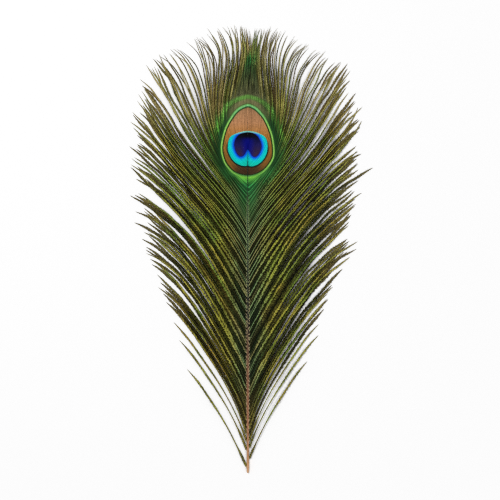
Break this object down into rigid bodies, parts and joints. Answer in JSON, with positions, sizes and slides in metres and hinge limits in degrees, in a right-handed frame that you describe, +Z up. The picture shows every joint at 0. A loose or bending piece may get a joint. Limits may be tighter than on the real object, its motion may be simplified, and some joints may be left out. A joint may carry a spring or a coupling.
{
  "type": "peacock feather",
  "caption": "Peacock eye feather lying face up: a tapering arched shaft with a vane of fine barbs on each side, closing into a banded eye and fanning into a loose crown.",
  "frame": {"origin": "on the resting surface, under the middle of the feather's outline", "axes": "+Y along the shaft from the cut quill to the crown, +Z up from the resting surface out of the displayed face, +X to the right seen from above"},
  "size_m": [0.1512, 0.3006, 0.0053],
  "materials": {
    "shaft_keratin": "horn-like keratin, satin, reddish brown with pale edges, tan at the cut quill",
    "barbs": "fine iridescent fibres, olive gold and green with a bronze, turquoise and dark blue eye"
  },
  "bodies": {
    "root": {"shaft": "shaft_keratin", "vane_left": "barbs", "vane_right": "barbs"}
  },
  "joints": []
}
